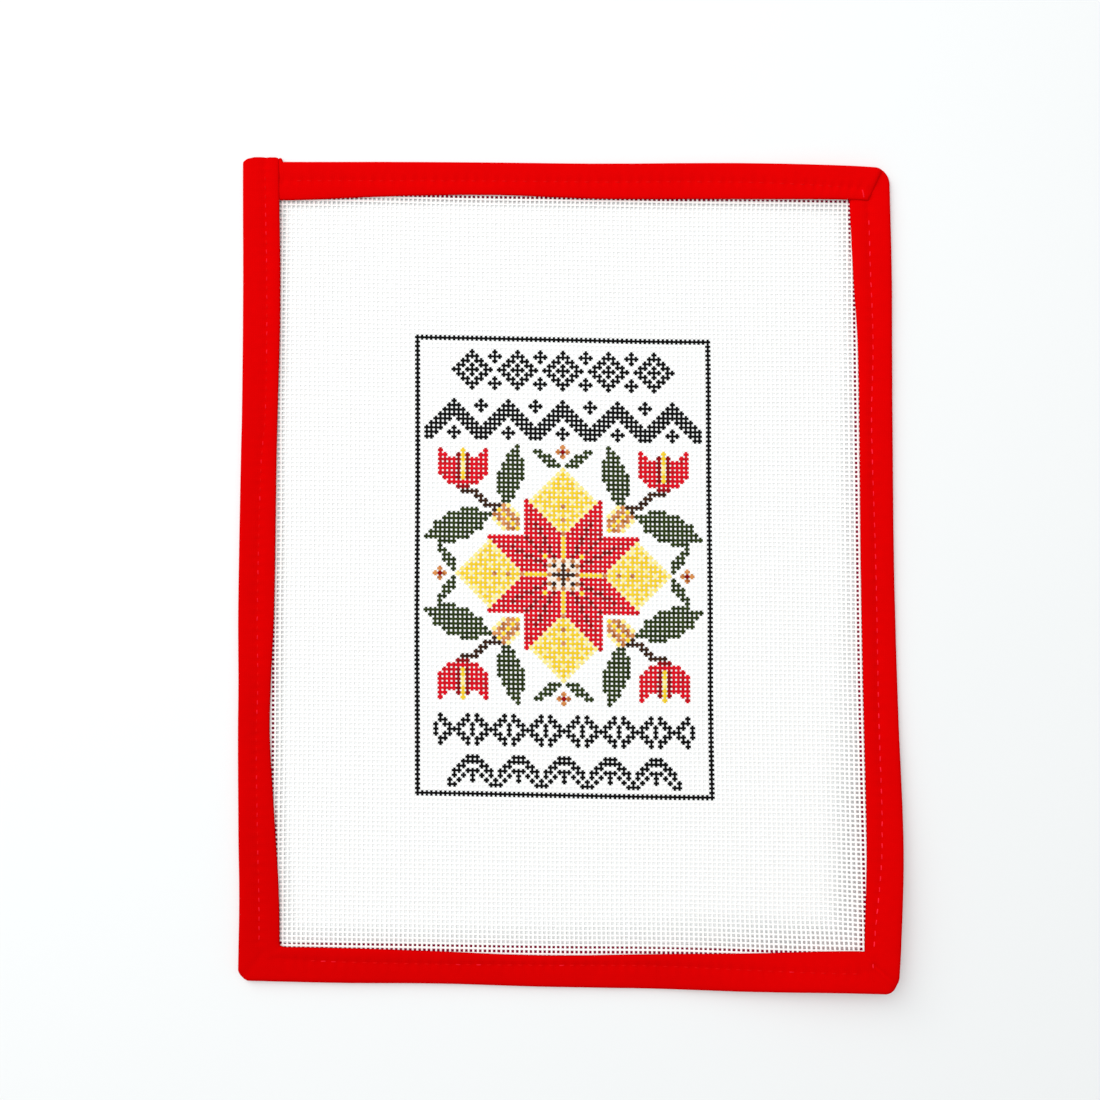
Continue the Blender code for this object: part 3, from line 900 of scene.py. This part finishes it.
def add_stitch(mesh_parts, start, end, radius, up, slot):
    """One stitch between two needle holes: a short thread whose ends dive into the cloth."""
    ahead = (end - start).normalized()
    aside = Vector((ahead.y, -ahead.x, 0.0)).normalized()
    rings = []
    for share, size, bow in STITCH_RINGS:
        middle = start.lerp(end, share) + Vector((0, 0, up * bow * radius))
        ring = []
        for step in range(STITCH_SIDES):
            angle = 2 * math.pi * step / STITCH_SIDES
            spoke = aside * math.cos(angle) + Vector((0, 0, STITCH_FLAT * math.sin(angle)))
            corner = middle + spoke * radius * size
            corner.z = max(corner.z, 0.0)  # pressed flat where the panel lies on them
            ring.append(corner)
        rings.append(ring)
    add_tube(mesh_parts, rings, STITCH_FACE, 1, lambda index, edge: slot, slot)


def seam_point(side, along, depth, front=True):
    """A place on the front flap's face, or in the back flap's recess."""
    station = STATION_OF[side](side, along)
    place = station.outer.lerp(station.front, depth / station.flap)
    height = front_height(station, depth, place) if front else BACK_RECESS * BACK_DEPTH
    return Vector((place.x, place.y, height + lift(place)))


def add_seams(mesh_parts, radius):
    """The stitches of all four runs, on both faces, and the fold's own."""
    seeded = random.Random(SEED + 5)
    for side, run in SEAMS.items():
        for count in range(math.ceil(run.first / run.pitch), int(run.last / run.pitch)):
            hole, next_hole = [(count + share) * run.pitch for share in NEEDLE_HOLES]
            lean = seeded.uniform(-STITCH_SLANT, STITCH_SLANT)
            size = radius * seeded.uniform(*STITCH_SIZES)
            slot = run.slot if seeded.random() < run.worn else 0
            seam, next_seam = side.value("seam", hole), side.value("seam", next_hole)
            for front, sway, thick, bow in ((True, lean, size, 1.0),
                                            (False, -lean, size * BACK_SIZE, BACK_BOW)):
                start = seam_point(side, hole, seam + sway, front)
                end = seam_point(side, next_hole, next_seam - sway, front)
                add_stitch(mesh_parts, start, end, thick, bow, slot)
    start, end = [seam_point(TOP_SIDE, *place) + SLANT_RISE for place in SLANT_STITCH]
    add_stitch(mesh_parts, start, end, radius * SLANT_SIZE, 1.0, 2)


# ---------------------------------------------------------------- pieces and materials

def linear(colour_hex):
    """An sRGB hex colour as linear red, green, blue and alpha."""
    channels = [int(colour_hex[start:start + 2], 16) / 255 for start in (1, 3, 5)]
    return [c / 12.92 if c <= 0.04045 else ((c + 0.055) / 1.055) ** 2.4 for c in channels] + [1.0]


def add_node(tree, kind, settings=None, values=None, links=None):
    """Adds a node, with its settings, its sockets' values and the outputs linked to it."""
    node = tree.nodes.new("ShaderNode" + kind)
    for name, value in (settings or {}).items():
        setattr(node, name, value)
    for name, value in (values or {}).items():
        node.inputs[name].default_value = value
    for name, output in (links or {}).items():
        tree.links.new(output, node.inputs[name])
    return node


def new_material(name, roughness, specular):
    """A material, its tree and the piece's own coordinates, which its patterns follow."""
    material = bpy.data.materials.new(name)
    material.use_nodes = True
    tree = material.node_tree
    shader = tree.nodes["Principled BSDF"]
    shader.inputs["Roughness"].default_value = roughness
    shader.inputs["Specular IOR Level"].default_value = specular
    return material, tree, add_node(tree, "TexCoord").outputs["Object"]


def toned(colour, shares=(1.0, 1.0, 1.0)):
    """An opaque colour with each channel at a share of itself."""
    return [channel * share for channel, share in zip(colour, shares)] + [1.0]


def dress(tree, low, high, pattern, grain=None, strength=0.0, height=0.0):
    """Takes the shader's colour from low to high by a pattern, and raises its face by a grain."""
    shader = tree.nodes["Principled BSDF"]
    tint = add_node(tree, "Mix", settings={"data_type": "RGBA"}, values={"A": low, "B": high},
                    links={"Factor": pattern})
    tree.links.new(tint.outputs["Result"], shader.inputs["Base Color"])
    if grain is not None:
        bump = add_node(tree, "Bump", values={"Strength": strength, "Distance": height * MM},
                        links={"Height": grain})
        tree.links.new(bump.outputs["Normal"], shader.inputs["Normal"])


def repeats(millimetres):
    """The noise scale whose blotches are about this wide."""
    return 1.0 / (millimetres * MM)


def bands(millimetres):
    """The wave scale whose bands are this far apart: at scale 1 they are pi / 10 apart."""
    return math.pi / 10 / (millimetres * MM)


def add_piece(name, mesh_parts, materials, smooth=True):
    """Turns lists in millimetres into a named object in metres that rides on the panel."""
    verts, faces, slots = mesh_parts
    mesh = bpy.data.meshes.new(name)
    places = [((v.x - TABLE_CENTRE.x) * MM, (v.y - TABLE_CENTRE.y) * MM, v.z * MM) for v in verts]
    mesh.from_pydata(places, [], faces)
    for material in materials:
        mesh.materials.append(material)
    mesh.polygons.foreach_set("material_index", slots)
    if smooth:
        mesh.shade_smooth()
    mesh.update()
    piece = bpy.data.objects.new(name, mesh)
    bpy.context.scene.collection.objects.link(piece)
    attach(piece, "root")
    return piece


STARCHED = (0.965, 0.96, 0.94)  # thick starch is a little darker and warmer
POOLS = (0.62, 0.86)  # the noise levels where a pool of paint begins and is full
# the darkest the tape's red goes, both from uneven dye and from the painted light's fall towards
# the lower left
DYE_AND_SHADE_DEEP = (0.84, 0.84, 0.84)
PAINTED_LIGHT_LEAN = (2.2, 2.2, 0.0)  # painted light: 1 more towards the full red for every 32 cm towards the top right
SHEEN_LEVELS = (0.4, 0.66)  # painted highlight: the noise levels where a stitch begins to show it and shows it most
SHEEN_LIGHT = (1.0, 0.022, 0.055)  # the pale red of the painted highlight on the stitches
SHEEN_MOST = 1.7  # of its share of that light, where a stitch shows most
BOARD_COOL = (0.985, 0.99, 0.99)


def sized_cotton_material(colour):
    """Sized cotton canvas thread: plied, starched and matt, so white with a faint dusty grain."""
    material, tree, where = new_material("sized_cotton_thread", roughness=0.8, specular=0.25)
    # starch lies unevenly, in patches of a few threads
    patches = add_node(tree, "TexNoise", values={"Scale": repeats(6.0), "Detail": 3.0},
                       links={"Vector": where})
    # the plies of a 0.63 mm thread twist round once in about 0.5 mm
    twist = add_node(tree, "TexWave", settings={"bands_direction": "DIAGONAL"},
                     values={"Scale": bands(0.5), "Distortion": 1.5, "Detail": 1.0},
                     links={"Vector": where})
    dress(tree, toned(colour), toned(colour, STARCHED), patches.outputs["Fac"],
          twist.outputs["Fac"], strength=0.18, height=0.04)
    return material


def painted_thread_material(name, colour, pooled, share):
    """Acrylic paint brushed thin on cotton thread: matt, with darker pools where it is thicker."""
    material, tree, where = new_material(name, roughness=0.7, specular=0.08)
    # a brush holds paint for a stitch or two, so the pools are about one pitch wide
    pools = add_node(tree, "TexNoise", values={"Scale": repeats(1.9), "Detail": 2.0},
                     links={"Vector": where})
    spread = add_node(tree, "MapRange",
                      values={"From Min": POOLS[0] - share, "From Max": POOLS[1] - share},
                      links={"Value": pools.outputs["Fac"]})
    # dried paint and fibre ends, about a third of the thread wide
    grain = add_node(tree, "TexNoise", values={"Scale": repeats(0.25), "Detail": 2.0},
                     links={"Vector": where})
    dress(tree, toned(colour), toned(pooled), spread.outputs["Result"],
          grain.outputs["Fac"], strength=0.2, height=0.04)
    return material


def cotton_tape_material(name, colour):
    """Red percale cotton: a fine plain weave, matt, so a deep red with a faint grain, and painted
    light that makes it lighter towards the top right.
    """
    material, tree, where = new_material(name, roughness=0.9, specular=0.0)
    # painted light: the red is lighter towards the top right and darker towards the lower left,
    # where less light falls
    total = add_node(tree, "VectorMath", settings={"operation": "DOT_PRODUCT"},
                     values={1: PAINTED_LIGHT_LEAN}, links={0: where}).outputs["Value"]
    # the dye also takes unevenly: in areas of 2 cm along the strip, and in slubs, single thicker
    # yarns about 2 mm long
    for size, detail in ((20.0, 3.0), (1.6, 4.0)):
        cloud = add_node(tree, "TexNoise", values={"Scale": repeats(size), "Detail": detail},
                         links={"Vector": where})
        total = add_node(tree, "Math", settings={"operation": "MULTIPLY_ADD"}, values={1: 0.5},
                         links={0: cloud.outputs["Fac"], 2: total}).outputs["Value"]
    # the real yarns are 0.35 mm apart; drawn at 0.55 mm, or the render would lose them
    warp, weft = [
        add_node(tree, "TexWave", settings={"bands_direction": way},
                 values={"Scale": bands(0.55), "Distortion": 0.6, "Detail": 1.0},
                 links={"Vector": where}).outputs["Fac"] for way in ("X", "Y")]
    weave = add_node(tree, "Math", settings={"operation": "ADD"}, links={0: warp, 1: weft})
    dress(tree, toned(colour, DYE_AND_SHADE_DEEP), toned(colour), total,
          weave.outputs["Value"], strength=0.25, height=0.05)
    return material


def sewing_thread_material(name, colour, rubbed):
    """Spun polyester thread: close to the tape's red, with a painted highlight that makes some
    stitches paler than others.
    """
    material, tree, where = new_material(name, roughness=0.6, specular=0.04)
    # some stitches face the light and some lie in their holes' shade
    worn = add_node(tree, "TexNoise", values={"Scale": repeats(5.0), "Detail": 1.0},
                    links={"Vector": where})
    spread = add_node(tree, "MapRange", values={"From Min": SHEEN_LEVELS[0], "From Max": SHEEN_LEVELS[1]},
                      links={"Value": worn.outputs["Fac"]})
    least, most = [
        [channel + share * (light - channel) for channel, light in zip(colour, SHEEN_LIGHT)]
        for share in (rubbed, rubbed * SHEEN_MOST)]
    # two plies, twisted once in 0.6 mm
    twist = add_node(tree, "TexWave", settings={"bands_direction": "DIAGONAL"},
                     values={"Scale": bands(0.6)}, links={"Vector": where})
    dress(tree, least + [1.0], most + [1.0], spread.outputs["Result"],
          twist.outputs["Fac"], strength=0.12, height=0.05)
    return material


def matt_board_material(colour):
    """White coated board: matt and nearly even, with a faint mottle."""
    material, tree, where = new_material("matt_white_board", roughness=0.85, specular=0.1)
    mottle = add_node(tree, "TexNoise", values={"Scale": repeats(90.0), "Detail": 2.0},
                      links={"Vector": where})
    dress(tree, toned(colour), toned(colour, BOARD_COOL), mottle.outputs["Fac"])
    return material


# ---------------------------------------------------------------- settings

def length_property(name, description, millimetres):
    """A length that is given in millimetres and kept in metres."""
    return FloatProperty(name=name, description=description, default=millimetres * MM, min=0.0,
                         subtype="DISTANCE", unit="LENGTH", precision=5)


def colour_property(name, description, colour_hex):
    """A colour that is given in hex and kept as linear values."""
    return FloatVectorProperty(name=name, description=description, size=4, min=0.0, max=1.0,
                               default=linear(colour_hex), subtype="COLOR")


class CanvasSettings(bpy.types.PropertyGroup):
    pitch: length_property("Pitch", "Between neighbouring threads: 18 to the inch", 1.411)
    thread_width: length_property("Thread width", "Width of a flattened thread", 0.63)
    thread_thickness: length_property("Thread thickness", "Height of a flattened thread", 0.11)
    crimp: length_property("Crimp", "How far a thread bends up and down at crossings", 0.045)
    wander: length_property("Wander", "How far the threads stray from a straight line", 0.4)
    cotton: colour_property("Cotton", "Unpainted canvas", "#F9F9F8")
    ink: colour_property("Ink", "Border and black bands", "#0B0B0C")
    red: colour_property("Red", "Rays and cups", "#D40A1E")
    dark_red: colour_property("Dark red", "Their shaded parts", "#96060F")
    yellow: colour_property("Yellow", "Petals", "#EBCB32")
    pale_yellow: colour_property("Pale yellow", "Their lighter crossings", "#F2E28C")
    green: colour_property("Green", "Leaves", "#2F3D17")
    brown: colour_property("Brown", "Stems and the star's middle", "#3E2414")
    gold: colour_property("Gold", "Buds and the star's middle", "#D08A4C")
    cream: colour_property("Cream", "The star's middle", "#EFE0CC")


class BindingSettings(bpy.types.PropertyGroup):
    cloth: length_property("Cloth", "Thickness of one layer of the tape", 0.5)
    red: colour_property("Red", "The tape's dye", "#D90203")
    # painted shade: this darker red stands for the shadow on the back flap's upper face, seen
    # through the mesh
    shaded: colour_property("Shaded", "Its back flap, seen through the mesh", "#8E1236")


class SewingSettings(bpy.types.PropertyGroup):
    thread: length_property("Thread", "Diameter of the sewing thread", 0.46)
    colour: colour_property("Colour", "The sewing thread's dye", "#D60304")


class StageSettings(bpy.types.PropertyGroup):
    board: colour_property("Board", "The pale surface that the panel lies on", "#ECEEEE")
    window_power: FloatProperty(name="Window", description="Power of the upper left light",
                                default=5.2, min=0.0, unit="POWER")
    overhead_power: FloatProperty(name="Softbox", description="Power of the large light overhead",
                                  default=11.2, min=0.0, unit="POWER")
    sky: FloatProperty(name="Sky", description="Strength of the even light from all round",
                       default=0.45, min=0.0)


# ---------------------------------------------------------------- operators

PAINTS = {  # the colour of each paint's pools, and how much of the thread they take
    "ink": ("#030302", 0.30), "red": ("#A80A14", 0.16), "dark red": ("#780502", 0.22),
    "yellow": ("#E6C028", 0.24), "pale yellow": ("#F2D860", 0.16), "green": ("#1C2808", 0.22),
    "brown": ("#24140A", 0.20), "gold": ("#9A5220", 0.20), "cream": ("#D8B080", 0.10),
}


def paint_materials(canvas):
    """Bare cotton first, then the paints in the order of PAINTS."""
    materials = [sized_cotton_material(canvas.cotton)]
    for paint, (pooled, share) in PAINTS.items():
        plain = paint.replace(" ", "_")
        materials.append(painted_thread_material(
            "acrylic_" + plain, getattr(canvas, plain), linear(pooled), share))
    return materials


def thread_courses(lines, crossings, parity, crimp, hidden_drop):
    """The courses of a family's threads, which start over or under by turns."""
    courses = []
    for line in lines:
        inside = [spot for spot in line if spot in crossings]
        if len(inside) > 1:
            courses.append(thread_course([crossings[spot] for spot in inside],
                                         (sum(inside[0]) + parity) % 2, crimp, hidden_drop))
    return courses


class OBJECT_OT_weave_canvas(bpy.types.Operator):
    """Weaves the canvas, warp and weft, with its painted crossings"""
    bl_idname = "object.weave_canvas"
    bl_label = "Weave Canvas"

    def execute(self, context):
        canvas = context.scene.needlepoint_canvas
        crossings = weave_crossings(canvas)
        materials = paint_materials(canvas)
        drop = (canvas.thread_thickness / MM) / 2 + HIDDEN_GAP
        columns = [[(column, row) for row in ROW_SPAN] for column in COLUMN_SPAN]
        rows = [[(column, row) for column in COLUMN_SPAN] for row in ROW_SPAN]
        crimp = canvas.crimp / MM
        warp, weft = [
            add_threads(name, thread_courses(lines, crossings, parity, crimp, hidden_drop),
                        canvas, (BARE, *PAINTS), materials, seed)
            for name, lines, parity, hidden_drop, seed in (
                ("canvas_warp", columns, 0, -drop, SEED + 1),
                ("canvas_weft", rows, 1, drop, SEED + 2),
            )]
        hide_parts("canvas")
        return {"FINISHED"}


class OBJECT_OT_fold_binding(bpy.types.Operator):
    """Folds the red tape over the canvas's four raw edges"""
    bl_idname = "object.fold_binding"
    bl_label = "Fold Binding Tape"

    def execute(self, context):
        binding = context.scene.needlepoint_binding
        mesh_parts = ([], [], [])
        cloth = binding.cloth / MM
        add_strip(mesh_parts, long_run(), cloth)
        add_strip(mesh_parts, top_run(), cloth)
        # the second material is the tape's red darkened as painted shade for the back flap's upper
        # face
        cottons = [cotton_tape_material("plain_woven_red_cotton", binding.red),
                   cotton_tape_material("shaded_red_cotton", binding.shaded)]
        tape = add_piece("binding_tape", mesh_parts, cottons)
        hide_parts("binding")
        return {"FINISHED"}


class OBJECT_OT_sew_binding(bpy.types.Operator):
    """Sews the tape on with a line of machine stitches along each run"""
    bl_idname = "object.sew_binding"
    bl_label = "Sew Binding"

    def execute(self, context):
        sewing = context.scene.needlepoint_sewing
        mesh_parts = ([], [], [])
        add_seams(mesh_parts, sewing.thread / MM / 2)
        # the threads differ only in how strong their painted highlight is
        threads = [sewing_thread_material(name + "_polyester_thread", sewing.colour, rubbed)
                   for name, rubbed in (("spun", 0.0), ("worn", 0.25), ("rubbed", 0.5))]
        stitches = add_piece("machine_stitches", mesh_parts, threads)
        return {"FINISHED"}


# the stage is in metres
BOARD_HALF = 1.6
BOARD_DROP = 0.02 * MM  # so that the panel's underside doesn't share its face
WINDOW_SIZE, WINDOW_PLACE = 0.8, Vector((-0.62, 0.62, 0.66))
OVERHEAD_SIZE, OVERHEAD_PLACE = 1.2, Vector((-0.15, 0.15, 1.3))
SKY_COLOUR = "#FDFEFF"
CAMERA_LOOK = Vector((-0.00563, 0.00545, 0.0))
CAMERA_AWAY = 0.411
CAMERA_TILT = math.radians(2.5)  # from straight down, towards the panel's lower edge
CAMERA_ANGLE = math.radians(45.0)


class SCENE_OT_set_stage(bpy.types.Operator):
    """Sets the pale surface, the soft light and the camera over the panel"""
    bl_idname = "scene.set_needlepoint_stage"
    bl_label = "Set Stage"

    def execute(self, context):
        scene = context.scene
        stage = scene.needlepoint_stage
        bm = bmesh.new()
        bmesh.ops.create_grid(bm, x_segments=8, y_segments=8, size=BOARD_HALF)
        mesh = bpy.data.meshes.new("board")
        bm.to_mesh(mesh)
        bm.free()
        mesh.materials.append(matt_board_material(stage.board))
        board = bpy.data.objects.new("board", mesh)
        board.location.z = -BOARD_DROP
        scene.collection.objects.link(board)

        for name, size, power, place in (
            ("window_light", WINDOW_SIZE, stage.window_power, WINDOW_PLACE),
            ("overhead_softbox", OVERHEAD_SIZE, stage.overhead_power, OVERHEAD_PLACE),
        ):
            light = bpy.data.lights.new(name, "AREA")
            light.shape = "SQUARE"
            light.size = size
            light.energy = power
            lamp = bpy.data.objects.new(name, light)
            lamp.location = place
            lamp.rotation_euler = (-place).to_track_quat("-Z", "Y").to_euler()
            scene.collection.objects.link(lamp)

        world = bpy.data.worlds.new("even_sky")
        world.use_nodes = True
        background = world.node_tree.nodes["Background"]
        background.inputs["Color"].default_value = linear(SKY_COLOUR)
        background.inputs["Strength"].default_value = stage.sky
        scene.world = world

        camera = bpy.data.cameras.new("camera")
        camera.sensor_fit = "HORIZONTAL"
        camera.angle = CAMERA_ANGLE
        camera_object = bpy.data.objects.new("camera", camera)
        away = Vector((0.0, -math.sin(CAMERA_TILT), math.cos(CAMERA_TILT))) * CAMERA_AWAY
        camera_object.location = CAMERA_LOOK + away
        camera_object.rotation_euler = (CAMERA_TILT, 0.0, 0.0)
        scene.collection.objects.link(camera_object)
        scene.camera = camera_object
        scene.view_settings.view_transform = "Standard"
        return {"FINISHED"}


class VIEW3D_PT_needlepoint_panel(bpy.types.Panel):
    """Lists the steps that make the panel, with their sizes and colours"""
    bl_idname = "VIEW3D_PT_needlepoint_panel"
    bl_label = "Needlepoint Canvas Panel"
    bl_space_type = "VIEW_3D"
    bl_region_type = "UI"
    bl_category = "Needlepoint"

    def draw(self, context):
        for operator, settings, group in STEPS:
            box = self.layout.box()
            for name in group.__annotations__:
                box.prop(getattr(context.scene, settings), name)
            box.operator(operator.bl_idname)


STEPS = (
    (OBJECT_OT_weave_canvas, "needlepoint_canvas", CanvasSettings),
    (OBJECT_OT_fold_binding, "needlepoint_binding", BindingSettings),
    (OBJECT_OT_sew_binding, "needlepoint_sewing", SewingSettings),
    (SCENE_OT_set_stage, "needlepoint_stage", StageSettings),
)
OPERATORS, SETTINGS, GROUPS = zip(*STEPS)
CLASSES = GROUPS + OPERATORS + (VIEW3D_PT_needlepoint_panel,)


def register():
    for cls in CLASSES:
        bpy.utils.register_class(cls)
    for settings, group in zip(SETTINGS, GROUPS):
        setattr(bpy.types.Scene, settings, PointerProperty(type=group))


def unregister():
    for settings in SETTINGS:
        delattr(bpy.types.Scene, settings)
    for cls in reversed(CLASSES):
        bpy.utils.unregister_class(cls)


def main():
    """Makes the panel and its stage."""
    register()
    bpy.ops.object.weave_canvas()
    bpy.ops.object.fold_binding()
    bpy.ops.object.sew_binding()
    bpy.ops.scene.set_needlepoint_stage()


if __name__ == "__main__":
    main()
